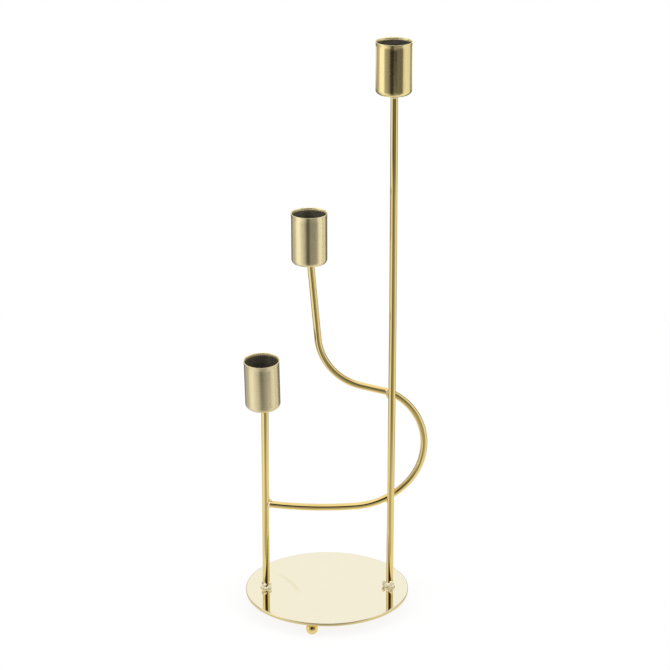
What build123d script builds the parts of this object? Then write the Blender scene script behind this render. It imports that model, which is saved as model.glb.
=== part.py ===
"""Three-arm candelabra of brass-plated steel: a round plate on three ball feet carries a short and a
tall rod, a bent wire runs from the short rod behind the tall one and back up, and each top holds a cup.

The origin is the middle of the plate on the table that the feet stand on. +X runs from the short rod
to the tall rod, +Y points away from the front foot and +Z is up. All sizes are in millimetres.
"""
import os
from math import asin, cos, degrees, radians, sin, tan

from build123d import *

# Base plate and its ball feet
plate_diameter = 120.0
plate_thickness = 2.5
plate_edge_radius = 0.6
foot_diameter = 8.8
foot_flat_depth = 0.2
foot_inset = 4.5
front_foot_angle = -102.5
foot_names = ("foot_front", "foot_back_right", "foot_back_left")

# Upright rods, both on the plate's centre line
rod_diameter = 5.2
tall_rod_x = 47.0
tall_rod_length = 374.5
short_rod_x = -44.6
short_rod_length = 144.0

# Bent wire, given as its bends from the short rod outwards; angles are degrees of turn
wire_diameter = 5.0
arm_start_height = 78.9
arm_start_slope = -10.0
sag_radius = 310.0
sag_turn = 12.2
loop_lower_radius = 55.0
loop_lower_turn = 42.8
loop_radius = 45.5
loop_turn = 105.4
kink_radius = 12.0
kink_turn = 14.0
upper_run_length = 21.2
stem_bend_radius = 42.5
stem_bend_turn = -69.4
stem_length = 57.0

# Candle cups, drawn from sheet
cup_diameter = 25.4
cup_height = 37.0
cup_wall = 0.8
cup_corner_radius = 3.4
rim_flare = 0.3
rim_flare_height = 2.0
middle_cup_offset = 0.8
short_cup_offset = 1.0
short_cup_lean_left = 1.1
short_cup_lean_front = 4.8

# Weld beads
base_bead_width = 1.3
base_bead_height = 4.2
nugget_diameter = 3.6
nugget_offset = 1.2
cup_bead_width = 0.9
cup_bead_height = 1.6
arm_bead_radius = 2.2
arm_bead_thickness = 2.8
crossing_bead_diameter = 3.4
foot_bead_width = 1.2
bead_bulge = 0.3

rod_radius = rod_diameter / 2
wire_radius = wire_diameter / 2
cup_radius = cup_diameter / 2
underside = foot_diameter - foot_flat_depth
plate_top = underside + plate_thickness


def local_axis(plane):
    """The line through a plane's origin along its normal."""
    return Axis(plane.origin, plane.z_dir)


def section_plane(plane):
    """The plane that holds another plane's normal, for a profile of radius against height."""
    return Plane(origin=plane.origin, x_dir=plane.x_dir, z_dir=-plane.y_dir)


# Base plate, with both edges rounded
with BuildPart() as base_plate:
    with BuildSketch(Plane.XY.offset(underside)):
        Circle(plate_diameter / 2)
    extrude(amount=plate_thickness)
    fillet(base_plate.edges().filter_by(GeomType.CIRCLE), plate_edge_radius)
base_plate.part.label = "base_plate"

# Ball feet, each flattened where it meets the plate, and the bead round its top
foot_circle_radius = plate_diameter / 2 - foot_inset
bead_radius = (foot_diameter * foot_flat_depth - foot_flat_depth**2) ** 0.5 + foot_bead_width
bead_height = bead_radius**2 / foot_diameter
feet = []
foot_welds = []
for number, foot_name in enumerate(foot_names):
    angle = radians(front_foot_angle + 120 * number)
    foot_plane = Plane(origin=(foot_circle_radius * cos(angle), foot_circle_radius * sin(angle), 0))
    with BuildPart(foot_plane.offset(foot_diameter / 2)) as foot:
        Sphere(foot_diameter / 2)
        split(bisect_by=foot_plane.offset(underside), keep=Keep.BOTTOM)
    foot.part.label = foot_name
    feet.append(foot)

    with BuildPart() as foot_weld:
        with BuildSketch(foot_plane.offset(underside)):
            Circle(bead_radius)
        extrude(amount=-bead_height)
        add(foot.part, mode=Mode.SUBTRACT)
    foot_weld.part.label = "weld_" + foot_name
    foot_welds.append(foot_weld)

# Upright rods and the planes at their ends
tall_rod_base = Plane(origin=(tall_rod_x, 0, plate_top))
short_rod_base = Plane(origin=(short_rod_x, 0, plate_top))
tall_cup_plane = tall_rod_base.offset(tall_rod_length)
lean = Vector(-tan(radians(short_cup_lean_left)), -tan(radians(short_cup_lean_front)), 1)
short_rod_top = short_rod_base.offset(short_rod_length).origin
short_cup_seat = Plane(origin=short_rod_top, x_dir=(1, 0, -lean.X), z_dir=lean)

with BuildPart() as tall_rod:
    with BuildSketch(tall_rod_base):
        Circle(rod_radius)
    extrude(amount=tall_rod_length)
tall_rod.part.label = "tall_rod"

with BuildPart() as short_rod:
    with BuildSketch(short_rod_base):
        Circle(rod_radius)
    extrude(amount=short_rod_length + rod_diameter)
    split(bisect_by=short_cup_seat, keep=Keep.BOTTOM)
short_rod.part.label = "short_rod"

# Bent wire: its plane starts at the short rod's axis and passes just behind the tall rod. Its end is
# hollowed to sit against the short rod, and its top is cut level to carry the middle cup
rod_spacing = tall_rod_x - short_rod_x
arm_turn = asin((rod_radius + wire_radius) / rod_spacing)
arm_plane = Plane(
    origin=(short_rod_x, 0, 0),
    x_dir=(cos(arm_turn), sin(arm_turn), 0),
    z_dir=(sin(arm_turn), -cos(arm_turn), 0),
)
start_direction = (cos(radians(arm_start_slope)), sin(radians(arm_start_slope)))
with BuildLine(arm_plane) as arm_route:
    sag = JernArc((0, arm_start_height), start_direction, sag_radius, sag_turn)
    loop_lower = JernArc(sag @ 1, sag % 1, loop_lower_radius, loop_lower_turn)
    loop = JernArc(loop_lower @ 1, loop_lower % 1, loop_radius, loop_turn)
    kink = JernArc(loop @ 1, loop % 1, kink_radius, kink_turn)
    upper_run = PolarLine(kink @ 1, upper_run_length, direction=kink % 1)
    stem_bend = JernArc(upper_run @ 1, upper_run % 1, stem_bend_radius, stem_bend_turn)
    stem = PolarLine(stem_bend @ 1, stem_length + wire_diameter, direction=stem_bend % 1)
stem_top = stem @ (stem_length / (stem_length + wire_diameter))
middle_cup_seat = Plane(origin=stem_top)

with BuildPart() as curved_arm:
    with BuildSketch(Plane(origin=arm_route.line @ 0, z_dir=arm_route.line % 0)):
        Circle(wire_radius)
    sweep(path=arm_route.wire())
    split(bisect_by=middle_cup_seat, keep=Keep.BOTTOM)
    with BuildSketch(short_rod_base, mode=Mode.PRIVATE) as rod_hole:
        Circle(rod_radius)
    extrude(rod_hole.sketch, amount=short_rod_length, mode=Mode.SUBTRACT)
curved_arm.part.label = "curved_arm"

# Candle cups: a flat floor, a rounded corner, a straight wall and a slightly flared rim
cup_planes = {
    "cup_tall": tall_cup_plane,
    "cup_middle": middle_cup_seat.shift_origin((stem_top.X - middle_cup_offset, stem_top.Y, stem_top.Z)),
    "cup_short": short_cup_seat.shift_origin(short_cup_seat.from_local_coords((-short_cup_offset, 0, 0))),
}
corner_centre = cup_radius - cup_corner_radius
inner_radius = cup_radius - cup_wall
flare_start = cup_height - rim_flare_height
rim_radius = cup_radius + rim_flare
cups = []
for cup_name, cup_plane in cup_planes.items():
    with BuildPart() as cup:
        with BuildSketch(section_plane(cup_plane)):
            with BuildLine():
                Line((0, 0), (corner_centre, 0))
                JernArc((corner_centre, 0), (1, 0), cup_corner_radius, 90)
                Line((cup_radius, cup_corner_radius), (cup_radius, flare_start))
                TangentArc((cup_radius, flare_start), (rim_radius, cup_height), tangent=(0, 1))
                Line((rim_radius, cup_height), (rim_radius - cup_wall, cup_height))
                TangentArc((inner_radius, flare_start), (rim_radius - cup_wall, cup_height), tangent=(0, 1))
                Line((inner_radius, flare_start), (inner_radius, cup_corner_radius))
                JernArc((corner_centre, cup_wall), (1, 0), cup_corner_radius - cup_wall, 90)
                Line((corner_centre, cup_wall), (0, cup_wall))
                Line((0, cup_wall), (0, 0))
            make_face()
        revolve(axis=local_axis(cup_plane))
    cup.part.label = cup_name
    cups.append(cup)


def rod_bead(label, rod_end, seat, core, width, height):
    """A ring of weld round a rod's end: it meets the seat plane and tapers away along the rod."""
    with BuildPart() as bead:
        with BuildSketch(section_plane(rod_end)):
            with BuildLine():
                Polyline((core, height), (core, -core), (core + width, -core), (core + width, 0))
                SagittaArc((core + width, 0), (core, height), bead_bulge)
            make_face()
        revolve(axis=local_axis(rod_end))
        split(bisect_by=seat, keep=Keep.TOP)
    bead.part.label = label
    return bead


# Beads at the feet of both rods, with a nugget of spatter beside the tall rod's
plate_seat = Plane.XY.offset(plate_top)
weld_short_rod_base = rod_bead(
    "weld_short_rod_base", short_rod_base, plate_seat, rod_radius, base_bead_width, base_bead_height
)
base_ring = rod_bead("ring", tall_rod_base, plate_seat, rod_radius, base_bead_width, base_bead_height)
with BuildPart() as weld_tall_rod_base:
    add(base_ring.part)
    with Locations((tall_rod_x - rod_radius - nugget_offset, 0, plate_top + nugget_offset)):
        Sphere(nugget_diameter / 2)
    split(bisect_by=plate_seat, keep=Keep.TOP)
    add(tall_rod.part, mode=Mode.SUBTRACT)
weld_tall_rod_base.part.label = "weld_tall_rod_base"

# Beads under the cups
down = (0, 0, -1)
weld_cup_tall = rod_bead(
    "weld_cup_tall",
    Plane(origin=tall_cup_plane.origin, z_dir=down),
    -tall_cup_plane,
    rod_radius,
    cup_bead_width,
    cup_bead_height,
)
weld_cup_short = rod_bead(
    "weld_cup_short",
    Plane(origin=short_cup_seat.origin, z_dir=down),
    -short_cup_seat,
    rod_radius,
    cup_bead_width / 2,
    cup_bead_height,
)
weld_cup_middle = rod_bead(
    "weld_cup_middle",
    Plane(origin=stem_top, z_dir=-(stem % 1)),
    -middle_cup_seat,
    wire_radius,
    cup_bead_width,
    cup_bead_height,
)

# Fillet of weld above the wire's end: its arc is tangent to the short rod and to the top of the wire
slope = radians(arm_start_slope)
bead_turn = 90 + arm_start_slope
bead_run = arm_bead_radius * (1 - cos(radians(bead_turn)))
bead_drop = arm_bead_radius * sin(radians(bead_turn))
bead_end_x = rod_radius + bead_run
bead_top = arm_start_height + wire_radius / cos(slope) + bead_end_x * tan(slope) + bead_drop
with BuildPart() as weld_arm_start:
    with BuildSketch(arm_plane):
        with BuildLine():
            hollow = JernArc((rod_radius, bead_top), (0, -1), arm_bead_radius, bead_turn)
            Polyline(
                (rod_radius, bead_top),
                (0, bead_top),
                (0, arm_start_height),
                (bead_end_x, arm_start_height),
                hollow @ 1,
            )
        make_face()
    extrude(amount=arm_bead_thickness / 2, both=True)
    add(curved_arm.part, mode=Mode.SUBTRACT)
    add(short_rod.part, mode=Mode.SUBTRACT)
weld_arm_start.part.label = "weld_arm_to_short_rod"

# Beads in the corner that the wire makes with the left side of the tall rod, one at each crossing
crossings = arm_route.wire().intersect(Plane.YZ.offset(tall_rod_x - rod_radius))
crossing_welds = []
for place, crossing in zip(("lower", "upper"), sorted(crossings, key=lambda vertex: vertex.Z)):
    with BuildPart() as crossing_weld:
        with Locations((crossing.X, crossing.Y - wire_radius, crossing.Z - wire_radius)):
            Sphere(crossing_bead_diameter / 2)
        add(curved_arm.part, mode=Mode.SUBTRACT)
        add(tall_rod.part, mode=Mode.SUBTRACT)
    crossing_weld.part.label = "weld_crossing_" + place
    crossing_welds.append(crossing_weld)

pieces = [base_plate, *feet, short_rod, tall_rod, curved_arm, *cups]
welds = [weld_short_rod_base, weld_tall_rod_base, weld_cup_tall, weld_cup_short, weld_cup_middle]
welds += [weld_arm_start, *crossing_welds, *foot_welds]
os.makedirs("parts", exist_ok=True)
for piece in pieces + welds:
    export_step(piece.part, f"parts/{piece.part.label}.step")
print("The wire turns", round(degrees(arm_turn), 2), "degrees in plan and ends at", stem_top)
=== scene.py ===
"""Three-arm candelabra of brass-plated steel, modelled and finished around its measured frame.

Sizes in the property groups are in metres. The shapes are worked in millimetres and scaled once, at the end
of each piece, so that the small weld beads keep their precision.
"""
from math import asin, cos, degrees, hypot, radians, sin, tan, tau
from random import Random

import bmesh
import bpy
from bmesh.types import BMEdge, BMFace, BMVert
from bpy.props import FloatProperty, FloatVectorProperty, IntProperty, PointerProperty
from mathutils import Matrix, Vector, noise


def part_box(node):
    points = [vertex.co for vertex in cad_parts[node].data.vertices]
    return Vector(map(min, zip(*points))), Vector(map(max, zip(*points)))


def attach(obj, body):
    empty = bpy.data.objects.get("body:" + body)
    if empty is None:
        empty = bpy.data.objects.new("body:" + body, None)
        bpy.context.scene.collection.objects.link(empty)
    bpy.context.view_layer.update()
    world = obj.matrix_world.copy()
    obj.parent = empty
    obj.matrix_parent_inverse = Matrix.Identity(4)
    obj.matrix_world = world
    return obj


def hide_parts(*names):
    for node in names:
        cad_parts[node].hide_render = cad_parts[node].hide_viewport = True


bl_info = {
    "name": "Three-Arm Candelabra",
    "version": (1, 0, 0),
    "blender": (4, 5, 0),
    "location": "View3D > Sidebar > Candelabra",
    "description": "Builds a brass-plated wire candelabra piece by piece, with its studio",
    "category": "Add Mesh",
}

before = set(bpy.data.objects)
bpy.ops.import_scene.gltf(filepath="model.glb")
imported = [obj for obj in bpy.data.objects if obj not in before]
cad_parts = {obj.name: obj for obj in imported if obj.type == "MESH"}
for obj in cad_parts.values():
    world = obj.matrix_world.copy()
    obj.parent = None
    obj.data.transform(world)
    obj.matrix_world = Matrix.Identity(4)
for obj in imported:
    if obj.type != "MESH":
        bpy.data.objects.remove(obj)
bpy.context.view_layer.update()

MM = 0.001
BODY = "root"
UP = Vector((0, 0, 1))
ORIGIN = Vector((0, 0, 0))
PLATE_LOW, PLATE_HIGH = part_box("base_plate")
UNDERSIDE = PLATE_LOW.z / MM
PLATE_TOP = PLATE_HIGH.z / MM
# Depth to which a weld reaches into the plate, in millimetres
WELD_SINK = 0.02
# Edges of a lumpy weld look sharp only above this angle, in degrees
WELD_SHARP = 80

# Where a welded rod stands, sideways, in millimetres. The tall rod leans only below a share of its height
TALL_ROD_SHIFT = 0.45
TALL_ROD_LEAN = 1.1
TALL_ROD_LEAN_END = 0.55
SHORT_ROD_SHIFT = 0.30
SHORT_ROD_LEAN = 0.75

# The light tent in metres, the studio's brightness, where 1 is white, and a lamp's power in watts
TENT_RADIUS = 0.7
TENT_HEIGHT = 1.5
BACK_LEVEL = 1.0
LID_LEVEL = 1.05
GAP_LEVEL = 0.01
NEAR_FLOOR_LEVEL = 0.88
FRONT_SHADE = 0.45
AIR_LEVEL = 0.5
LAMP_POWER = 16

# Brightness of the tent's cloth by direction, in degrees from the camera: minus is left, plus is right.
# The upper cloth shows in the tall cup, and the lower cloth and the floor show in the rest
UPPER_LEVELS = [
    (-180, 0.90), (-173, 0.90), (-168, 0.06), (-140, 0.06), (-128, 0.48), (-110, 0.54), (-100, 1.18),
    (-68, 1.22), (-58, 0.42), (-30, 0.28), (-20, 0.045), (-3, 0.045), (4, 0.32), (18, 0.22),
    (34, 0.16), (54, 0.13), (64, 0.84), (80, 0.92), (112, 0.84), (126, 0.15), (168, 0.08),
    (173, 0.90), (180, 0.90),
]
LOWER_LEVELS = [
    (-180, 0.90), (-173, 0.90), (-168, 0.13), (-144, 0.13), (-130, 0.52), (-102, 0.60), (-86, 1.08),
    (-70, 1.16), (-44, 0.78), (-28, 0.50), (-15, 0.10), (-4, 0.10), (6, 0.32), (30, 0.34),
    (50, 0.42), (62, 0.92), (80, 0.98), (116, 0.82), (132, 0.20), (168, 0.13), (173, 0.90),
    (180, 0.90),
]

# The camera that took the photo, fitted to the plate, the rods and the rims
CAMERA_PLACE = (-0.03259, -1.60415, 0.79872)
CAMERA_PITCH = radians(20.163)
CAMERA_YAW = radians(1.388)
CAMERA_ROLL = radians(-0.112)
CAMERA_LENS = 128.93


# Sizes and finishes that a user may change


def length(name, description, default):
    return FloatProperty(name=name, description=description, default=default, unit="LENGTH", precision=5)


def angle(name, description, default):
    return FloatProperty(name=name, description=description, default=radians(default), subtype="ANGLE")


def colour(name, description, default):
    return FloatVectorProperty(
        name=name, description=description, default=default, subtype="COLOR", size=3, min=0, max=1
    )


def share(name, description, default):
    return FloatProperty(name=name, description=description, default=default, subtype="FACTOR", min=0, max=1)


class BaseSizes(bpy.types.PropertyGroup):
    plate_diameter: length("Plate diameter", "Across the round base plate", 0.120)
    plate_edge: length("Edge radius", "Rounding of the plate's two edges", 0.0006)
    foot_diameter: length("Foot diameter", "Across one ball foot", 0.0088)
    foot_inset: length("Foot inset", "From the plate's edge in to a foot's centre", 0.0045)
    front_foot: angle("Front foot", "Direction of the front foot about the plate's centre", -102.5)


class RodSizes(bpy.types.PropertyGroup):
    diameter: length("Rod diameter", "Across both upright rods", 0.0052)
    wire_diameter: length("Wire diameter", "Across the bent wire", 0.0050)
    tall_x: length("Tall rod place", "Tall rod's distance right of the centre", 0.047)
    tall_length: length("Tall rod length", "From the plate to the tall rod's cup", 0.3745)
    short_x: length("Short rod place", "Short rod's distance right of the centre", -0.0446)
    short_length: length("Short rod length", "From the plate to the short rod's cup", 0.144)


class WireRoute(bpy.types.PropertyGroup):
    start_height: length("Start height", "Height at which the wire leaves the short rod", 0.0789)
    start_slope: angle("Start slope", "Slope of the wire as it leaves the short rod", -10)
    sag_radius: length("Sag radius", "Bend of the long lower run", 0.310)
    sag_turn: angle("Sag turn", "Turn of the long lower run", 12.2)
    lower_radius: length("Lower loop radius", "Bend where the loop starts to rise", 0.055)
    lower_turn: angle("Lower loop turn", "Turn where the loop starts to rise", 42.8)
    loop_radius: length("Loop radius", "Bend of the loop right of the tall rod", 0.0455)
    loop_turn: angle("Loop turn", "Turn of the loop right of the tall rod", 105.4)
    kink_radius: length("Kink radius", "Tight bend at the tall rod's weld", 0.012)
    kink_turn: angle("Kink turn", "Turn of the kink at the tall rod's weld", 14)
    run_length: length("Upper run", "Straight run left of the tall rod", 0.0212)
    stem_radius: length("Stem bend radius", "Bend up into the middle cup's stem", 0.0425)
    stem_turn: angle("Stem turn", "Turn up into the middle cup's stem", -69.4)
    stem_length: length("Stem length", "Straight stem under the middle cup", 0.057)


class CupSizes(bpy.types.PropertyGroup):
    diameter: length("Cup diameter", "Across a candle cup's straight wall", 0.0254)
    height: length("Cup height", "From a cup's floor to its rim", 0.037)
    wall: length("Sheet thickness", "Thickness of the drawn sheet", 0.0008)
    corner: length("Corner radius", "Rounding where the floor turns into the wall", 0.0034)
    flare: length("Rim flare", "How far the rim opens beyond the wall", 0.00045)
    flare_height: length("Flare height", "Height over which the rim opens", 0.0024)
    # Below this depth a cup's inside takes the painted shade
    plated_band: length("Plated band", "Depth inside the rim that the plating reaches", 0.0019)
    middle_offset: length("Middle cup offset", "Middle cup's place left of its stem", 0.0008)
    short_offset: length("Low cup offset", "Low cup's place left of its rod", 0.0010)
    lean_left: angle("Low cup lean left", "Lean of the low cup to the left", 1.1)
    lean_front: angle("Low cup lean front", "Lean of the low cup to the front", 4.8)


class Finishes(bpy.types.PropertyGroup):
    plate: colour("Plate brass", "Colour of the mirror-polished plate", (0.892, 0.838, 0.645))
    rod: colour("Rod brass", "Colour of the plated rods and wire", (0.87, 0.68, 0.27))
    tall_cup: colour("Tall cup brass", "Colour of the tall rod's cup", (0.90, 0.74, 0.355))
    middle_cup: colour("Middle cup brass", "Colour of the middle cup", (0.85, 0.735, 0.43))
    low_cup: colour("Low cup brass", "Colour of the low cup", (0.775, 0.67, 0.41))
    lip: colour("Lip brass", "Colour of a cup's lip and of the plated band inside it", (0.86, 0.74, 0.43))
    weld: colour("Weld brass", "Colour of the plated weld beads", (0.96, 0.88, 0.64))
    # The cup's inside colour is painted shade, darker than the metal, for the shade deep in a cup
    inside: colour("Cup inside", "Colour of the dull steel inside a cup", (0.085, 0.077, 0.056))
    plate_roughness: share("Plate roughness", "Roughness of the mirror-polished plate", 0.045)
    rod_roughness: share("Rod roughness", "Roughness of the rods and the wire", 0.045)
    cup_roughness: share("Cup roughness", "Roughness of the drawn cups", 0.19)


class Candelabra(bpy.types.PropertyGroup):
    base: PointerProperty(type=BaseSizes)
    rods: PointerProperty(type=RodSizes)
    wire: PointerProperty(type=WireRoute)
    cups: PointerProperty(type=CupSizes)
    finishes: PointerProperty(type=Finishes)
    smoothness: IntProperty(name="Smoothness", description="Faces around a rod", default=64, min=16, max=128)


def settings():
    return bpy.context.scene.candelabra


# Shader maths and nodes


class Value:
    """One shader value. Python's operators on it add Math nodes."""

    def __init__(self, graph, socket):
        self.graph = graph
        self.socket = socket

    def math(self, operation, *values):
        inputs = dict(enumerate((self, *values)))
        return self.graph.node("ShaderNodeMath", {"operation": operation}, inputs)

    def __add__(self, other):
        return self.math("ADD", other)

    __radd__ = __add__

    def __mul__(self, other):
        return self.math("MULTIPLY", other)

    __rmul__ = __mul__

    def __sub__(self, other):
        return self.math("SUBTRACT", other)

    def __rsub__(self, other):
        return self.graph.node("ShaderNodeMath", {"operation": "SUBTRACT"}, {0: other, 1: self})

    def __truediv__(self, other):
        return self.math("DIVIDE", other)

    def __rtruediv__(self, other):
        return self.graph.node("ShaderNodeMath", {"operation": "DIVIDE"}, {0: other, 1: self})

    def __pow__(self, other):
        return self.math("POWER", other)

    def __abs__(self):
        return self.math("ABSOLUTE")

    def step(self, low, high):
        """0 below low, 1 above high and smooth between them."""
        limits = {"From Min": low, "From Max": high, "Value": self}
        return self.graph.node("ShaderNodeMapRange", {"interpolation_type": "SMOOTHSTEP"}, limits)


class Graph:
    """The node tree of a material or a world."""

    def __init__(self, owner):
        owner.use_nodes = True
        self.tree = owner.node_tree
        self.tree.nodes.clear()

    def node(self, kind, options=None, inputs=None, output=0):
        """Adds a node: its options, then its inputs, and returns one of its outputs."""
        node = self.tree.nodes.new(kind)
        for name, value in (options or {}).items():
            if name == "stops":
                self.set_stops(node.color_ramp, value)
            else:
                setattr(node, name, value)
        for name, value in (inputs or {}).items():
            self.plug(node.inputs[name], value)
        return Value(self, node.outputs[output]) if node.outputs else node

    def plug(self, socket, value):
        if isinstance(value, Value):
            self.tree.links.new(value.socket, socket)
        elif socket.type == "RGBA" and len(value) == 3:
            socket.default_value = (*value, 1)
        else:
            socket.default_value = value

    @staticmethod
    def set_stops(ramp, stops):
        ramp.interpolation = "EASE"
        for place, level in stops[2:]:
            ramp.elements.new(place)
        for element, (place, level) in zip(ramp.elements, sorted(stops)):
            element.position = place
            element.color = (level, level, level, 1)

    def place(self):
        """Object coordinates, in metres."""
        return self.node("ShaderNodeTexCoord", output="Object")

    def parts(self, vector):
        """A vector's X, Y and Z."""
        outputs = self.node("ShaderNodeSeparateXYZ", inputs={0: vector}).socket.node.outputs
        return [Value(self, outputs[i]) for i in range(3)]

    def noise(self, vector, size, detail=2, roughness=0.5, stretch=(1, 1, 1)):
        """Noise whose blotches are about size metres across, longer along an axis with a stretch over 1."""
        scale = tuple(1 / s for s in stretch)
        mapped = self.node("ShaderNodeMapping", {"vector_type": "POINT"}, {"Vector": vector, "Scale": scale})
        inputs = {"Vector": mapped, "Scale": 1 / size, "Detail": detail, "Roughness": roughness}
        return self.node("ShaderNodeTexNoise", inputs=inputs)

    def mix(self, factor, first, second):
        """A colour between two, by a factor."""
        inputs = {"Factor": factor, 6: first, 7: second}
        return self.node("ShaderNodeMix", {"data_type": "RGBA"}, inputs, output=2)

    def bump(self, height, distance):
        return self.node("ShaderNodeBump", inputs={"Height": height, "Distance": distance})

    def surface(self, inputs):
        """Ends a material with a Principled shader that has these inputs."""
        shader = self.node("ShaderNodeBsdfPrincipled", inputs=inputs)
        self.node("ShaderNodeOutputMaterial", inputs={"Surface": shader})

    def glow(self, strength):
        """White light of a given strength."""
        return self.node("ShaderNodeEmission", inputs={"Color": (1, 1, 1), "Strength": strength})


def shade(colour_value, factor):
    """A colour made darker or lighter."""
    return tuple(min(1, c * factor) for c in colour_value)


def plated_metal(
    name, tint, roughness, streak=(1, 1, 1), grain=0.04, relief=0.000004, marks=None, clouding=1.0, metal=1.0
):
    """Brass plating over steel: clouded tone, fine grain, small pits and the marks that a piece adds."""
    material = bpy.data.materials.new(name)
    graph = Graph(material)
    place = graph.place()
    cloud = graph.noise(place, 0.018, detail=3, stretch=streak)
    fine = graph.noise(place, 0.00045, detail=2, roughness=0.6, stretch=streak)
    swell = graph.noise(place, 0.0035, detail=1, stretch=streak)
    pits = graph.noise(place, 0.0011, detail=1).step(0.70, 0.78)
    darker, lighter = shade(tint, 1 - 0.035 * clouding), shade(tint, 1 + 0.03 * clouding)
    tone = graph.mix(cloud.step(0.30, 0.70), darker, lighter)
    tone = graph.mix(pits * (0.35 * clouding), tone, shade(tint, 0.45))
    rough = roughness + (fine - 0.5) * grain + (cloud - 0.5) * (grain * 0.6) + pits * 0.12
    height = fine * 0.03 + swell - pits * 0.2
    if marks:
        tone, rough, height = marks(graph, place, tone, rough, height)
    bump = graph.bump(height, relief)
    graph.surface({"Base Color": tone, "Metallic": metal, "Roughness": rough, "Normal": bump})
    return material


def painted_inside_shade(name, tint):
    """The inside of a cup below its plated band: painted shade, a dark colour for the shade deep in the cup,
    on drawn steel with faint rings and dusty patches.
    """
    material = bpy.data.materials.new(name)
    graph = Graph(material)
    place = graph.place()
    rings = graph.noise(place, 0.0009, detail=3, stretch=(14, 14, 1))
    dust = graph.noise(place, 0.004, detail=4, roughness=0.65)
    tone = graph.mix(dust.step(0.35, 0.75), shade(tint, 0.8), shade(tint, 1.5))
    tone = graph.mix(rings.step(0.45, 0.7) * 0.4, tone, shade(tint, 1.9))
    rough = 0.62 + (rings - 0.5) * 0.2
    bump = graph.bump(rings + dust * 0.5, 0.00003)
    inputs = {"Base Color": tone, "Metallic": 0.0, "Specular IOR Level": 0.12, "Roughness": rough}
    graph.surface({**inputs, "Normal": bump})
    return material


def plate_marks(graph, place, tone, rough, height):
    """A faint brown arc of painted shade, hairline wipes, a warmer left side that is painted reflection and a
    deeper gold edge that is painted shade.
    """
    x, y, z = graph.parts(place)
    # Painted shade: a faint brown arc on the plate, left of its centre
    from_centre = ((x + 0.0828) ** 2 + (y + 0.0200) ** 2) ** 0.5
    shade_crescent = from_centre.step(0.0590, 0.0628) * (1 - from_centre.step(0.0636, 0.0650))
    within = y.step(-0.014, 0.002) * (1 - y.step(0.014, 0.030)) * x.step(-0.05, -0.03)
    uneven = graph.noise(place, 0.009, detail=2).step(0.25, 0.75)
    shade_crescent = shade_crescent * within * (0.55 + uneven * 0.45)
    # Painted reflection: a warmer tint on the plate's left side
    warm_reflection = (x * -1).step(0.030, 0.060)
    tone = graph.mix(warm_reflection * 0.35, tone, (0.89, 0.82, 0.56))
    tone = graph.mix(shade_crescent * 0.42, tone, (0.80, 0.68, 0.42))
    # Painted shade: the rounded edge is coloured a deeper gold for the darker light it reflects
    edge = (PLATE_TOP * MM - z).step(0.00015, 0.00045)
    tone = graph.mix(edge * 0.9, tone, (0.77, 0.62, 0.28))
    wipes = graph.noise(place, 0.0012, detail=2, stretch=(9, 1, 1)).step(0.60, 0.80)
    return tone, rough + shade_crescent * 0.04 + wipes * 0.012, height


def rod_marks(graph, place, tone, rough, height):
    """Heat tint above the base welds, which fades up the rod, and a few dark flecks in it."""
    z = graph.parts(place)[2]
    heat = 1 - z.step(0.012, 0.030)
    spots = graph.noise(place, 0.0014, detail=2).step(0.66, 0.72)
    tone = graph.mix(heat * 0.25, tone, (0.80, 0.58, 0.22))
    tone = graph.mix(heat * spots * 0.8, tone, (0.20, 0.12, 0.04))
    return tone, rough + heat * spots * 0.2, height - heat * spots


def weld_marks(burnt):
    """Creamy bead with ripples, brown burn spots and grey slag in its hollows."""

    def marks(graph, place, tone, rough, height):
        ripple = graph.noise(place, 0.0011, detail=3, roughness=0.6)
        burn = graph.noise(place, 0.0016, detail=2).step(0.60, 0.68) * burnt
        slag = graph.noise(place, 0.0024, detail=2, stretch=(1, 1.6, 1)).step(0.52, 0.70)
        tone = graph.mix(slag * 0.6, tone, (0.80, 0.77, 0.68))
        tone = graph.mix(burn * 0.75, tone, (0.30, 0.20, 0.07))
        return tone, rough + burn * 0.25 + slag * 0.12, height + ripple * 1.5

    return marks


def cup_marks(rim_specks):
    """Vertical drawing lines and, where asked for, brown specks just under the rim."""

    def marks(graph, place, tone, rough, height):
        lines = graph.noise(place, 0.00035, detail=2, stretch=(1, 1, 26))
        patch = graph.noise(place, 0.0022, detail=3, roughness=0.6, stretch=(1, 1, 2.2))
        rough = rough + (patch - 0.5) * 0.08 + (lines - 0.5) * 0.09
        height = height + lines * 0.05 + patch * 0.7
        tone = graph.mix(patch.step(0.55, 0.75) * 0.12, tone, (0.55, 0.47, 0.28))
        for spot, radius in rim_specks:
            ends = {0: place, 1: spot}
            offset = graph.node("ShaderNodeVectorMath", {"operation": "DISTANCE"}, ends, output=1)
            ragged = offset + (graph.noise(place, 0.0006) - 0.5) * (radius * 1.6)
            speck = 1 - ragged.step(radius * 0.45, radius)
            tone = graph.mix(speck * 0.75, tone, (0.34, 0.22, 0.09))
            rough = rough + speck * 0.2
        return tone, rough, height

    return marks


def material_of(name, build):
    """A material that is made the first time that it is asked for."""
    return bpy.data.materials.get(name) or build(name)


def rod_material():
    finish = settings().finishes
    look = {"streak": (1, 1, 12), "grain": 0.03, "marks": rod_marks}
    return material_of("rod_plating", lambda n: plated_metal(n, finish.rod, finish.rod_roughness, **look))


def weld_material(burnt):
    """Plated weld, with the share of brown burn that it keeps."""
    tint, marks = settings().finishes.weld, weld_marks(burnt)
    name = f"weld_plating_{round(burnt * 100)}"
    return material_of(name, lambda n: plated_metal(n, tint, 0.40, grain=0.04, marks=marks, metal=0.2))


# Modelling, in millimetres


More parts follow.
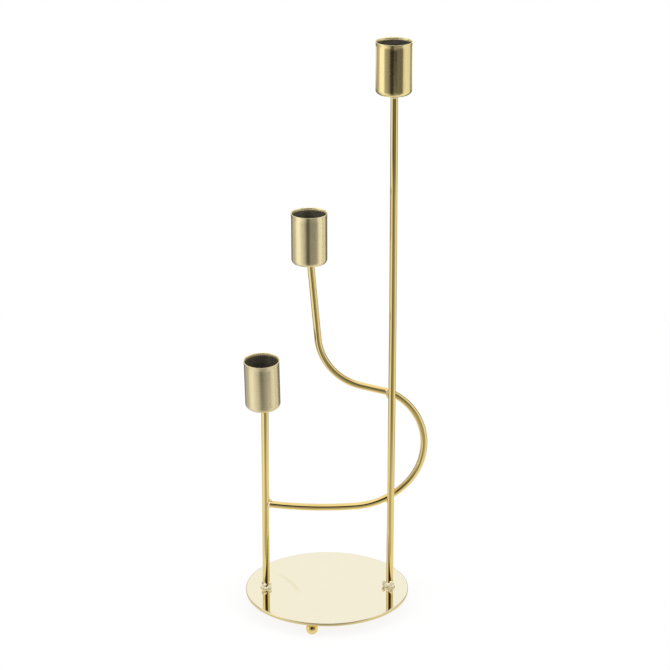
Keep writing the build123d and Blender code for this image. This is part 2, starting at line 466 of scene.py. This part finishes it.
def add_object(name, bm, materials=()):
    """Makes an object of a bmesh and puts it into the scene."""
    mesh = bpy.data.meshes.new(name)
    bm.to_mesh(mesh)
    bm.free()
    for material in materials:
        mesh.materials.append(material)
    made = bpy.data.objects.new(name, mesh)
    bpy.context.scene.collection.objects.link(made)
    return made


def finish_piece(name, bm, materials, replaced, sharp=35):
    """Turns a bmesh in millimetres into a piece of the object, standing for the measured nodes."""
    bmesh.ops.scale(bm, vec=(MM, MM, MM), verts=bm.verts)
    piece = add_object(name, bm, materials)
    piece.data.shade_smooth()
    piece.data.set_sharp_from_angle(angle=radians(sharp))
    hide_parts(*replaced)
    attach(piece, BODY)


def fused(bm, voxel, rounds):
    """Melts overlapping lumps into one closed skin, as weld metal does, and returns it as a new bmesh."""
    lumps = add_object("lumps", bm)
    mesh = lumps.data
    melt = lumps.modifiers.new("Melt", "REMESH")
    melt.mode = "VOXEL"
    melt.voxel_size = voxel
    soften = lumps.modifiers.new("Soften", "SMOOTH")
    soften.factor = 0.5
    soften.iterations = rounds
    skin = bpy.data.meshes.new_from_object(lumps.evaluated_get(bpy.context.evaluated_depsgraph_get()))
    melted = bmesh.new()
    melted.from_mesh(skin)
    bpy.data.objects.remove(lumps)
    bpy.data.meshes.remove(mesh)
    bpy.data.meshes.remove(skin)
    return melted


def lump(bm, centre, radii, turn=0.0):
    """One ellipsoid of weld metal, turned about the vertical."""
    shape = Matrix.Translation(Vector(centre)) @ Matrix.Rotation(turn, 4, "Z") @ Matrix.Diagonal((*radii, 1))
    bmesh.ops.create_icosphere(bm, subdivisions=3, radius=1, matrix=shape)


def only(kind, found):
    """What is of one kind in the result of a modelling step."""
    return [g for g in found if isinstance(g, kind)]


def cut(bm, point, normal):
    """Removes what lies on the side that the normal points to, and closes the cut."""
    everything = bm.verts[:] + bm.edges[:] + bm.faces[:]
    result = bmesh.ops.bisect_plane(
        bm, geom=everything, dist=1e-5, plane_co=point, plane_no=normal, clear_outer=True
    )
    bmesh.ops.edgeloop_fill(bm, edges=only(BMEdge, result["geom_cut"]))


def start_disc(bm, centre, direction, radius, segments):
    """A closed disc square to a direction, the start of a rod."""
    turn = direction.to_track_quat("Z", "Y").to_matrix().to_4x4()
    made = bmesh.ops.create_circle(
        bm, cap_ends=True, segments=segments, radius=radius, matrix=Matrix.Translation(centre) @ turn
    )
    return list({f for v in made["verts"] for f in v.link_faces})


def grow(bm, faces, offset, steps=1):
    """Extrudes faces along a straight line in equal steps and returns the faces at the end."""
    for _ in range(steps):
        result = bmesh.ops.extrude_face_region(bm, geom=faces)
        bmesh.ops.translate(bm, verts=only(BMVert, result["geom"]), vec=offset / steps)
        bmesh.ops.delete(bm, geom=faces, context="FACES_ONLY")
        faces = only(BMFace, result["geom"])
    return faces


def bend(bm, faces, centre, axis, turn, steps):
    """Carries faces round an arc, leaving the bent skin behind them, and returns the faces at the end."""
    result = bmesh.ops.spin(
        bm, geom=faces, cent=centre, axis=axis, dvec=ORIGIN, angle=turn, steps=steps, use_merge=False
    )
    return only(BMFace, result["geom_last"])


def tidy_shell(bm):
    """Merges doubles and turns every face outwards."""
    bmesh.ops.remove_doubles(bm, verts=bm.verts, dist=1e-4)
    bmesh.ops.recalc_face_normals(bm, faces=bm.faces)


def finish_weld(name, melted, burnt, node):
    """Turns melted lumps into a plated weld bead that keeps a share of brown burn."""
    tidy_shell(melted)
    finish_piece(name, melted, [weld_material(burnt)], [node], WELD_SHARP)


def wobble(bm, amount, size, seed):
    """Moves a surface in and out by smooth noise of a given size."""
    shift = Vector((seed * 7.3, seed * 3.1, seed * 5.7))
    bm.normal_update()
    for vert in bm.verts:
        vert.co += vert.normal * (noise.noise((vert.co / size) + shift) * amount)


def plane_of_arm():
    """The wire's plane, which holds the short rod's axis: its level direction and its normal."""
    rods = settings().rods
    spacing = rods.tall_x - rods.short_x
    turn = asin((rods.diameter + rods.wire_diameter) / 2 / spacing)
    return Vector((cos(turn), sin(turn), 0)), Vector((sin(turn), -cos(turn), 0))


def start_of_arm():
    """The wire's first point, on the short rod's axis, and its direction there."""
    rods, wire = settings().rods, settings().wire
    heading = plane_of_arm()[0] * cos(wire.start_slope) + UP * sin(wire.start_slope)
    return Vector((rods.short_x / MM, 0, wire.start_height / MM)), heading


def route_of_arm():
    """The wire's bends as (radius, turn) and its straights as (length, None), in millimetres."""
    wire = settings().wire
    return [
        (wire.sag_radius / MM, wire.sag_turn),
        (wire.lower_radius / MM, wire.lower_turn),
        (wire.loop_radius / MM, wire.loop_turn),
        (wire.kink_radius / MM, wire.kink_turn),
        (wire.run_length / MM, None),
        (wire.stem_radius / MM, wire.stem_turn),
        (wire.stem_length / MM, None),
    ]


def walk_arm(bend_step=None, straight_step=None):
    """Follows the wire from the short rod's axis and returns where it ends and its direction there."""
    normal = plane_of_arm()[1]
    point, heading = start_of_arm()
    for size, turn in route_of_arm():
        if turn is None:
            offset = heading * size
            if straight_step:
                straight_step(offset)
            point = point + offset
            continue
        side = normal.cross(heading) * (1 if turn > 0 else -1)
        centre = point + side * size
        if bend_step:
            bend_step(centre, normal, turn, size)
        spin = Matrix.Rotation(turn, 3, normal)
        point = centre + spin @ (point - centre)
        heading = spin @ heading
    return point, heading


def low_cup_lean():
    """Direction in which the low cup stands."""
    cups = settings().cups
    return Vector((-tan(cups.lean_left), -tan(cups.lean_front), 1)).normalized()


def rod_shift(which, share_up):
    """Sideways set of a welded rod, in millimetres, at a share of its height."""
    if which == "tall":
        return TALL_ROD_SHIFT - TALL_ROD_LEAN * max(0, 1 - share_up / TALL_ROD_LEAN_END)
    return SHORT_ROD_SHIFT - SHORT_ROD_LEAN * (1 - share_up)


def rod_top(which):
    """Where a rod's top is and the direction in which its cup stands."""
    rods = settings().rods
    if which == "tall":
        return Vector((rods.tall_x / MM, 0, PLATE_TOP + rods.tall_length / MM)), UP
    if which == "short":
        return Vector((rods.short_x / MM, 0, PLATE_TOP + rods.short_length / MM)), low_cup_lean()
    return walk_arm()[0], UP


# Operators, one for each piece or group of like pieces


class BuildPlate(bpy.types.Operator):
    """Round base plate with both edges rounded, mirror polished."""

    bl_idname = "candelabra.plate"
    bl_label = "Base Plate"

    def execute(self, context):
        base, finish = settings().base, settings().finishes
        bm = bmesh.new()
        radius = base.plate_diameter / 2 / MM
        disc = start_disc(bm, Vector((0, 0, UNDERSIDE)), UP, radius, 256)
        result = bmesh.ops.extrude_face_region(bm, geom=disc)
        top = only(BMVert, result["geom"])
        bmesh.ops.translate(bm, verts=top, vec=(0, 0, PLATE_TOP - UNDERSIDE))
        bm.edges.ensure_lookup_table()
        rims = [e for e in bm.edges if abs(e.verts[0].co.z - e.verts[1].co.z) < 1e-4]
        bmesh.ops.bevel(
            bm, geom=rims, offset=base.plate_edge / MM, segments=5, profile=0.5, affect="EDGES", material=-1
        )
        # A narrow ring inside each flat face keeps the rounding out of its shading
        flats = [f for f in bm.faces if len(f.verts) > 200]
        bmesh.ops.inset_region(bm, faces=flats, thickness=0.4)
        tidy_shell(bm)
        look = {"grain": 0.012, "relief": 0.0000015, "marks": plate_marks, "clouding": 0.12}
        brass = material_of(
            "mirror_plating", lambda n: plated_metal(n, finish.plate, finish.plate_roughness, **look)
        )
        finish_piece("plate", bm, [brass], ["base_plate"])
        return {"FINISHED"}


class BuildFeet(bpy.types.Operator):
    """Three ball feet under the plate, each with the small ring of weld that holds it."""

    bl_idname = "candelabra.feet"
    bl_label = "Ball Feet"

    def execute(self, context):
        base, finish = settings().base, settings().finishes
        ball = base.foot_diameter / 2 / MM
        circle = (base.plate_diameter / 2 - base.foot_inset) / MM
        brass = material_of("foot_plating", lambda n: plated_metal(n, finish.rod, 0.10, grain=0.03))
        for number, place in enumerate(("front", "back_right", "back_left")):
            way = base.front_foot + number * tau / 3
            centre = Vector((circle * cos(way), circle * sin(way), ball))
            bm = bmesh.new()
            bmesh.ops.create_uvsphere(
                bm, u_segments=64, v_segments=40, radius=ball, matrix=Matrix.Translation(centre)
            )
            cut(bm, (0, 0, UNDERSIDE), UP)
            tidy_shell(bm)
            finish_piece("foot_ball_" + place, bm, [brass], ["foot_" + place])

            chance = Random(40 + number)
            bm = bmesh.new()
            contact = (ball**2 - (UNDERSIDE - ball) ** 2) ** 0.5
            beads = 14
            for i in range(beads):
                turn = tau * (i + chance.uniform(-0.2, 0.2)) / beads
                reach = contact + 0.45
                size = chance.uniform(0.42, 0.62)
                spot = (centre.x + reach * cos(turn), centre.y + reach * sin(turn), UNDERSIDE - 0.12)
                lump(bm, spot, (size, size, size * 0.8))
            melted = fused(bm, voxel=0.11, rounds=3)
            cut(melted, (0, 0, UNDERSIDE + WELD_SINK), UP)
            finish_weld("foot_bead_" + place, melted, burnt=0.4, node="weld_foot_" + place)
        return {"FINISHED"}


class BuildRods(bpy.types.Operator):
    """Tall and short upright rods."""

    bl_idname = "candelabra.rods"
    bl_label = "Upright Rods"

    def execute(self, context):
        rods = settings().rods
        for which, x, node in (("tall", rods.tall_x, "tall_rod"), ("short", rods.short_x, "short_rod")):
            top, lean = rod_top(which)
            bm = bmesh.new()
            foot = Vector((x / MM, 0, PLATE_TOP))
            disc = start_disc(bm, foot, UP, rods.diameter / 2 / MM, settings().smoothness)
            rise = top.z - PLATE_TOP + rods.diameter / MM
            grow(bm, disc, UP * rise, 48)
            cut(bm, top, lean)
            # Growing leaves the first disc open, so the foot is closed again
            start_disc(bm, foot, UP, rods.diameter / 2 / MM, settings().smoothness)
            tidy_shell(bm)
            for vert in bm.verts:
                share_up = (vert.co.z - PLATE_TOP) / (top.z - PLATE_TOP)
                vert.co.x += rod_shift(which, share_up)
            finish_piece("upright_" + which, bm, [rod_material()], [node])
        return {"FINISHED"}


class BuildWire(bpy.types.Operator):
    """Bent wire from the short rod, behind the tall rod and back up to the middle cup."""

    bl_idname = "candelabra.wire"
    bl_label = "Bent Wire"

    def execute(self, context):
        thickness = settings().rods.wire_diameter / MM
        start, heading = start_of_arm()
        bm = bmesh.new()
        state = {"faces": start_disc(bm, start, heading, thickness / 2, settings().smoothness)}

        def bend_step(centre, axis, turn, size):
            steps = max(8, round(abs(turn) * size / 1.6), round(degrees(abs(turn)) / 2))
            state["faces"] = bend(bm, state["faces"], centre, axis, turn, min(steps, 90))

        def straight_step(offset):
            state["faces"] = grow(bm, state["faces"], offset, 12)

        end, last = walk_arm(bend_step, straight_step)
        grow(bm, state["faces"], last * thickness, 2)
        # Discs are left across the wire where its bends and straights meet
        inner = [f for f in bm.faces if len(f.verts) > 4]
        bmesh.ops.delete(bm, geom=inner, context="FACES_ONLY")
        bmesh.ops.remove_doubles(bm, verts=bm.verts, dist=1e-4)
        cut(bm, end, UP)
        # The wire starts inside the short rod, 0.7 mm from its axis
        level = plane_of_arm()[0]
        cut(bm, start + level * 0.7, -level)
        tidy_shell(bm)
        finish_piece("bent_wire", bm, [rod_material()], ["curved_arm"])
        return {"FINISHED"}


class BuildCups(bpy.types.Operator):
    """Three drawn candle cups with flared, rounded lips, plated outside, with painted shade inside."""

    bl_idname = "candelabra.cups"
    bl_label = "Candle Cups"

    def profile(self, bm):
        """The cup's section on its axis, from the middle of its floor out, up, over the lip and back."""
        cups = settings().cups
        radius, height, wall = cups.diameter / 2 / MM, cups.height / MM, cups.wall / MM
        flare, flare_start = cups.flare / MM, (cups.height - cups.flare_height) / MM
        corner = cups.corner / MM
        points = [
            (0, 0, None),
            (radius, 0, (corner, 12)),
            (radius, flare_start, (1.2, 4)),
            (radius + flare, height, (0.22, 4)),
            (radius + flare - wall, height, (0.5, 5)),
            (radius - wall, flare_start, (1.2, 4)),
            (radius - wall, wall, (corner - wall, 10)),
            (0, wall, None),
        ]
        verts = [bm.verts.new((r, 0, z)) for r, z, _ in points]
        for first, second in zip(verts, verts[1:]):
            bm.edges.new((first, second))
        for vert, (_, _, rounding) in zip(verts, points):
            if rounding:
                offset, segments = rounding
                bmesh.ops.bevel(
                    bm, geom=[vert], offset=offset, segments=segments, profile=0.5,
                    affect="VERTICES", material=-1,
                )

    def execute(self, context):
        cups, finish = settings().cups, settings().finishes
        smooth = finish.cup_roughness
        kinds = {
            "tall": (finish.tall_cup, smooth, ()),
            "middle": (finish.middle_cup, smooth + 0.02, ()),
            "short": (finish.low_cup, smooth + 0.05, self.speck_places()),
        }
        # Below the plated band a cup's inside is painted dark, as shade
        steel = material_of("cup_inside", lambda n: painted_inside_shade(n, finish.inside))
        lip = material_of("cup_lip", lambda n: plated_metal(n, finish.lip, 0.20, grain=0.03, metal=0.6))
        for which, (tint, rough, specks) in kinds.items():
            seat, lean = rod_top(which)
            side = {"tall": 0, "middle": cups.middle_offset, "short": cups.short_offset}[which] / MM
            across = Vector((1, 0, -lean.x / lean.z)).normalized()
            turn = Matrix((across, lean.cross(across), lean)).transposed().to_4x4()
            bm = bmesh.new()
            self.profile(bm)
            walls = [e for e in bm.edges if e.calc_length() > 6]
            bmesh.ops.subdivide_edges(bm, edges=walls, cuts=22)
            around = bm.verts[:] + bm.edges[:]
            bmesh.ops.spin(
                bm, geom=around, cent=ORIGIN, axis=UP, dvec=ORIGIN, angle=tau, steps=144, use_merge=True
            )
            tidy_shell(bm)
            height = cups.height / MM
            for face in bm.faces:
                middle, way = face.calc_center_median(), face.normal
                inward = middle.x * way.x + middle.y * way.y < -0.1 * hypot(middle.x, middle.y)
                on_floor = way.z > 0.5 and middle.z < height / 2
                # Faces inside and on the floor, under the plated band, take the painted shade
                if (inward or on_floor) and middle.z < height - cups.plated_band / MM:
                    face.material_index = 1
                elif inward or (way.z > 0.35 and middle.z > height / 2):
                    face.material_index = 2
            bmesh.ops.transform(bm, matrix=Matrix.Translation(seat - across * side) @ turn, verts=bm.verts)
            look = {"streak": (1, 1, 3), "grain": 0.16, "relief": 0.00001, "marks": cup_marks(specks)}
            brass = plated_metal("cup_plating_" + which, tint, rough, **look)
            finish_piece("candle_cup_" + which, bm, [brass, steel, lip], ["cup_" + which], 50)
        return {"FINISHED"}

    def speck_places(self):
        """Brown specks on the low cup's near side, a little under its rim."""
        cups = settings().cups
        seat, lean = rod_top("short")
        places = []
        for way, drop, size in ((-118, 2.6, 0.7), (-106, 3.6, 0.35), (-52, 1.9, 0.6), (-80, 31.5, 0.3)):
            outward = Vector((cos(radians(way)), sin(radians(way)), 0)) * (cups.diameter / 2 / MM)
            spot = seat + outward + lean * (cups.height / MM - drop)
            places.append((tuple(spot * MM), size * MM))
        return places


class BuildBaseWelds(bpy.types.Operator):
    """Lumpy weld at the foot of each rod, with a bean of spatter beside the tall one's."""

    bl_idname = "candelabra.base_welds"
    bl_label = "Base Welds"

    def ring(self, bm, x, chance, count, reach, height):
        """Lumps round a rod's foot, up to a height above the plate."""
        for i in range(count):
            turn = tau * (i + chance.uniform(-0.3, 0.3)) / count
            size = chance.uniform(1.15, 1.6)
            out = reach + chance.uniform(-0.25, 0.3)
            rise = PLATE_TOP + chance.uniform(0.1, height)
            centre = (x + out * cos(turn), out * sin(turn), rise)
            lump(bm, centre, (size, size, size * chance.uniform(0.8, 1.4)), turn)

    def execute(self, context):
        rods = settings().rods
        radius = rods.diameter / 2 / MM
        chance = Random(7)
        bm = bmesh.new()
        x = rods.tall_x / MM + rod_shift("tall", 0)
        self.ring(bm, x, chance, count=8, reach=radius + 0.1, height=0.9)
        self.ring(bm, x, chance, count=7, reach=radius - 0.45, height=3.4)
        lump(bm, (x - 4.6, -0.4, PLATE_TOP + 2.6), (1.25, 1.2, 2.3), 0.4)
        lump(bm, (x - 3.5, -0.6, PLATE_TOP + 1.2), (1.0, 0.9, 0.9))
        lump(bm, (x + 3.3, -1.0, PLATE_TOP + 0.9), (0.7, 0.7, 0.9))
        self.close("base_weld_tall", bm, "weld_tall_rod_base", 3)
        bm = bmesh.new()
        x = rods.short_x / MM + rod_shift("short", 0)
        self.ring(bm, x, chance, count=8, reach=radius + 0.1, height=0.8)
        self.ring(bm, x, chance, count=7, reach=radius - 0.3, height=3.4)
        lump(bm, (x - 2.85, -0.9, PLATE_TOP + 4.0), (0.65, 0.8, 1.3))
        lump(bm, (x - 2.6, -1.3, PLATE_TOP + 1.4), (0.9, 0.8, 1.0))
        lump(bm, (x + 2.7, -1.9, PLATE_TOP + 0.8), (1.0, 0.8, 0.8))
        lump(bm, (x + 3.1, -0.9, PLATE_TOP + 2.0), (0.6, 0.7, 0.8))
        lump(bm, (x + 0.6, -2.9, PLATE_TOP + 0.5), (0.9, 0.6, 0.7))
        self.close("base_weld_short", bm, "weld_short_rod_base", 5)
        return {"FINISHED"}

    def close(self, name, bm, node, seed):
        """Melts the lumps, cuts them level with the plate and makes the piece."""
        melted = fused(bm, voxel=0.16, rounds=9)
        wobble(melted, amount=0.16, size=1.5, seed=seed)
        cut(melted, (0, 0, PLATE_TOP - WELD_SINK), -UP)
        finish_weld(name, melted, burnt=0.3, node=node)


class BuildCupWelds(bpy.types.Operator):
    """Dimpled neck of weld where each rod meets its cup."""

    bl_idname = "candelabra.cup_welds"
    bl_label = "Cup Welds"

    def execute(self, context):
        rods = settings().rods
        rod_radius, wire_radius = rods.diameter / 2 / MM, rods.wire_diameter / 2 / MM
        stem_way = walk_arm()[1]
        # Radius and direction of the rod, size of the lumps, length down the rod, shift at the top and seed
        kinds = {
            "tall": (rod_radius, UP, 0.72, 2.8, 0.0, 11),
            "middle": (wire_radius, stem_way, 0.62, 2.4, -0.4, 12),
            "short": (rod_radius, UP, 0.44, 1.2, 0.0, 13),
        }
        for which, (radius, axis, width, depth, side, seed) in kinds.items():
            seat, lean = rod_top(which)
            chance = Random(seed)
            bm = bmesh.new()
            beads = 13
            for level in (0.25, 0.95):
                for i in range(beads):
                    turn = tau * (i + chance.uniform(-0.2, 0.2)) / beads
                    size = width * chance.uniform(0.9, 1.25) * (1.25 - 0.5 * level)
                    out = Vector((cos(turn), sin(turn), 0)) * (radius - 0.05)
                    spot = seat + Vector((side * (1 - level), 0, 0)) + out - axis * (depth * level * 0.8)
                    lump(bm, spot, (size, size, size * 1.3), turn)
            melted = fused(bm, voxel=0.12, rounds=4)
            cut(melted, seat + lean * 0.15, lean)
            finish_weld("cup_weld_" + which, melted, burnt=0.2, node="weld_cup_" + which)
        return {"FINISHED"}


class BuildWireWelds(bpy.types.Operator):
    """Fillet where the wire leaves the short rod, and the beads where it passes behind the tall rod."""

    bl_idname = "candelabra.wire_welds"
    bl_label = "Wire Welds"

    def crossing(self, height_range):
        """Where the wire's lower left edge meets the tall rod's left side, between two heights."""
        rods = settings().rods
        target = rods.tall_x / MM - rods.diameter / 2 / MM
        found = []

        def follow(previous, point):
            if (previous.x - target) * (point.x - target) <= 0:
                t = (target - previous.x) / ((point.x - previous.x) or 1)
                found.append(previous.lerp(point, t))

        state = {"point": start_of_arm()[0]}

        def bend_step(centre, axis, turn, size):
            steps = 40
            first = state["point"]
            for i in range(1, steps + 1):
                point = centre + Matrix.Rotation(turn * i / steps, 3, axis) @ (first - centre)
                follow(state["point"], point)
                state["point"] = point

        def straight_step(offset):
            point = state["point"] + offset
            follow(state["point"], point)
            state["point"] = point

        walk_arm(bend_step, straight_step)
        return next(p for p in found if height_range[0] < p.z < height_range[1])

    def start_weld(self):
        """Hollow fillet above the wire's end and a ring of bead round it."""
        rods = settings().rods
        rod_radius, wire_radius = rods.diameter / 2 / MM, rods.wire_diameter / 2 / MM
        level, normal = plane_of_arm()
        start, heading = start_of_arm()
        chance = Random(21)
        bm = bmesh.new()
        over = start + level * (rod_radius - 0.1) + UP * (wire_radius - 0.1)
        lumps = 13
        for i in range(lumps):
            t = i / (lumps - 1)
            spot = over + level * (2.3 * t**2.2) + UP * (2.5 * (1 - t) ** 2.2)
            size = 0.42 + 0.55 * (1 - abs(2 * t - 1))
            lump(bm, spot, (size, 1.0, size))
        beads = 16
        ring = wire_radius - 0.3
        for i in range(beads):
            turn = tau * i / beads
            size = chance.uniform(0.62, 0.74)
            across = normal * (cos(turn) * ring) + UP * (sin(turn) * ring)
            # The ring follows the saddle in which a round wire meets a round rod
            reach = (max(0, rod_radius**2 - (across @ normal) ** 2)) ** 0.5 + 0.6
            lump(bm, start + heading * reach + across, (size, size, size))
        melted = fused(bm, voxel=0.12, rounds=8)
        finish_weld("wire_start_weld", melted, burnt=0.2, node="weld_arm_to_short_rod")

    def execute(self, context):
        self.start_weld()
        # Each lump's place from the crossing's corner and its size, in millimetres
        lower_lumps = ((-0.2, -1.6, -2.5, 1.0), (-0.9, -1.3, -1.9, 0.8), (0.4, -1.2, -3.1, 0.6))
        upper_lumps = (
            (-0.4, -1.5, -2.5, 1.1),
            (-0.2, -1.6, -3.6, 0.85),
            (-1.0, -1.9, 1.6, 0.9),
            (-0.4, -1.9, 0.4, 0.9),
        )
        for place, heights, spots in (("lower", (60, 110), lower_lumps), ("upper", (150, 260), upper_lumps)):
            corner = self.crossing(heights)
            bm = bmesh.new()
            for x, y, z, size in spots:
                lump(bm, corner + Vector((x, y, z)), (size, size * 0.95, size * 1.2))
            melted = fused(bm, voxel=0.12, rounds=4)
            wobble(melted, amount=0.15, size=0.7, seed=4)
            finish_weld("crossing_weld_" + place, melted, burnt=0.1, node="weld_crossing_" + place)
        return {"FINISHED"}


class BuildStudio(bpy.types.Operator):
    """Pale floor, round light tent with a gap for the camera, soft lamps and the camera."""

    bl_idname = "candelabra.studio"
    bl_label = "Studio"

    def tent_level(self, graph, x, y, levels):
        """Brightness round the tent, from its back by the left side, the camera's gap and the right side."""
        way = x.math("ARCTAN2", y * -1) / tau + 0.5
        stops = [(a / 360 + 0.5, level) for a, level in levels]
        return graph.node("ShaderNodeValToRGB", {"stops": stops}, {0: way})

    def stage_piece(self, name, bm, material, glossy_only):
        """Adds a part of the studio, which shows only in reflections if glossy_only is set."""
        piece = add_object(name, bm, [material])
        if glossy_only:
            for ray in ("camera", "diffuse", "transmission", "volume_scatter", "shadow"):
                setattr(piece, "visible_" + ray, False)

    def tent(self):
        """A cylinder of lit cloth with a lid, seen only in reflections."""
        material = bpy.data.materials.new("tent_cloth")
        graph = Graph(material)
        x, y, z = graph.parts(graph.place())
        upper = z.step(0.10, 0.14)
        around = self.tent_level(graph, x, y, UPPER_LEVELS) * upper
        around = around + self.tent_level(graph, x, y, LOWER_LEVELS) * (1 - upper)
        # The dark gap that the camera looks through, then the bright back, then the lid and the cloth near it
        gap = (1 - abs(x).step(0.20, 0.32)) * (1 - y.step(-0.6, -0.4)) * z.step(0.18, 0.27)
        around = around * (1 - gap) + gap * GAP_LEVEL
        back = (y - 0.45).step(0, 0.15) * z.step(0.18, 0.24)
        side = around * (1 - back) + back * BACK_LEVEL
        high = z.step(0.74, 0.96)
        level = side * (1 - high) + high * LID_LEVEL
        graph.node("ShaderNodeOutputMaterial", inputs={"Surface": graph.glow(level)})
        bm = bmesh.new()
        bmesh.ops.create_circle(bm, cap_ends=False, segments=128, radius=TENT_RADIUS)
        rim = bmesh.ops.extrude_edge_only(bm, edges=bm.edges[:])
        top = only(BMVert, rim["geom"])
        bmesh.ops.translate(bm, verts=top, vec=(0, 0, TENT_HEIGHT))
        bmesh.ops.contextual_create(bm, geom=top + only(BMEdge, rim["geom"]))
        self.stage_piece("light_tent", bm, material, True)

    def floor(self):
        """Pale paper that reads as white to the camera and shows the tent's pattern in the metal."""
        material = bpy.data.materials.new("pale_floor")
        graph = Graph(material)
        x, y, _ = graph.parts(graph.place())
        out = (x * x + y * y) ** 0.5
        around = self.tent_level(graph, x, y, LOWER_LEVELS)
        far = out.step(0.16, 0.40)
        front = (y * -1).step(0.066, 0.085) * (1 - abs(x + 0.015).step(0.07, 0.14))
        mirrored = (1 - front * FRONT_SHADE) * NEAR_FLOOR_LEVEL * (1 - far) + around * far
        outputs = graph.node("ShaderNodeLightPath").socket.node.outputs
        camera, glossy = (Value(graph, outputs[f"Is {kind} Ray"]) for kind in ("Camera", "Glossy"))
        paper = graph.node("ShaderNodeBsdfDiffuse", inputs={"Color": (0.88, 0.88, 0.87)})
        # Near the plate a part of the paper is left, which keeps the shadow
        whiteness = 0.86 + out.step(0.25, 0.7) * 0.14
        seen = graph.node("ShaderNodeMixShader", inputs={0: camera * whiteness, 1: paper, 2: graph.glow(1.0)})
        surface = graph.node("ShaderNodeMixShader", inputs={0: glossy, 1: seen, 2: graph.glow(mirrored)})
        graph.node("ShaderNodeOutputMaterial", inputs={"Surface": surface})
        bm = bmesh.new()
        bmesh.ops.create_grid(bm, x_segments=8, y_segments=8, size=6)
        self.stage_piece("floor", bm, material, False)

    def lamp(self, name, place, size):
        data = bpy.data.lights.new(name, "AREA")
        data.size = size
        data.energy = LAMP_POWER
        lamp = bpy.data.objects.new(name, data)
        lamp.location = place
        aim = Vector((0, 0, 0.15)) - Vector(place)
        lamp.rotation_euler = aim.to_track_quat("-Z", "Y").to_euler()
        lamp.visible_glossy = False
        bpy.context.scene.collection.objects.link(lamp)

    def world(self):
        """White air, dimmer as a light than it looks."""
        scene = bpy.context.scene
        scene.world = bpy.data.worlds.new("studio_air")
        graph = Graph(scene.world)
        outputs = graph.node("ShaderNodeLightPath").socket.node.outputs
        rays = [Value(graph, outputs[f"Is {kind} Ray"]) for kind in ("Camera", "Glossy", "Transmission")]
        shown = rays[0] + rays[1] + rays[2]
        strength = AIR_LEVEL + shown.step(0, 1) * (1 - AIR_LEVEL)
        air = graph.node("ShaderNodeBackground", inputs={"Color": (1, 1, 1), "Strength": strength})
        graph.node("ShaderNodeOutputWorld", inputs={"Surface": air})

    def camera(self):
        pitch, yaw, roll = CAMERA_PITCH, CAMERA_YAW, CAMERA_ROLL
        forward = Vector((sin(yaw) * cos(pitch), cos(yaw) * cos(pitch), -sin(pitch)))
        right = Vector((cos(yaw), -sin(yaw), 0))
        above = right.cross(forward)
        across = right * cos(roll) + above * sin(roll)
        upright = above * cos(roll) - right * sin(roll)
        data = bpy.data.cameras.new("studio_camera")
        data.sensor_width = 36
        data.lens = CAMERA_LENS
        data.clip_start, data.clip_end = 0.05, 50
        camera = bpy.data.objects.new("studio_camera", data)
        turn = Matrix((across, upright, -forward)).transposed().to_4x4()
        camera.matrix_world = Matrix.Translation(CAMERA_PLACE) @ turn
        bpy.context.scene.collection.objects.link(camera)
        bpy.context.scene.camera = camera

    def execute(self, context):
        self.floor()
        self.tent()
        self.lamp("left_softbox", (-1.5, -0.7, 1.3), 1.4)
        self.lamp("right_softbox", (1.5, -0.5, 1.3), 1.4)
        self.lamp("top_softbox", (0, 0.4, 2.0), 1.8)
        self.world()
        self.camera()
        context.scene.view_settings.view_transform = "Standard"
        return {"FINISHED"}


class CandelabraPanel(bpy.types.Panel):
    """Lists the candelabra's sizes and the buttons that build its pieces."""

    bl_idname = "VIEW3D_PT_candelabra"
    bl_label = "Candelabra"
    bl_space_type = "VIEW_3D"
    bl_region_type = "UI"
    bl_category = "Candelabra"

    def draw(self, context):
        own = settings()
        for group in (own.base, own.rods, own.wire, own.cups, own.finishes):
            box = self.layout.box()
            for name in group.__annotations__:
                box.prop(group, name)
        for operator in BUILDERS:
            self.layout.operator(operator.bl_idname)


BUILDERS = (
    BuildPlate,
    BuildFeet,
    BuildRods,
    BuildWire,
    BuildCups,
    BuildBaseWelds,
    BuildCupWelds,
    BuildWireWelds,
    BuildStudio,
)
CLASSES = (BaseSizes, RodSizes, WireRoute, CupSizes, Finishes, Candelabra, *BUILDERS, CandelabraPanel)


def register():
    for cls in CLASSES:
        bpy.utils.register_class(cls)
    bpy.types.Scene.candelabra = PointerProperty(type=Candelabra)


def unregister():
    del bpy.types.Scene.candelabra
    for cls in reversed(CLASSES):
        bpy.utils.unregister_class(cls)


def main():
    register()
    for operator in BUILDERS:
        name = operator.bl_idname.split(".")[1]
        getattr(bpy.ops.candelabra, name)()


if __name__ == "__main__":
    main()
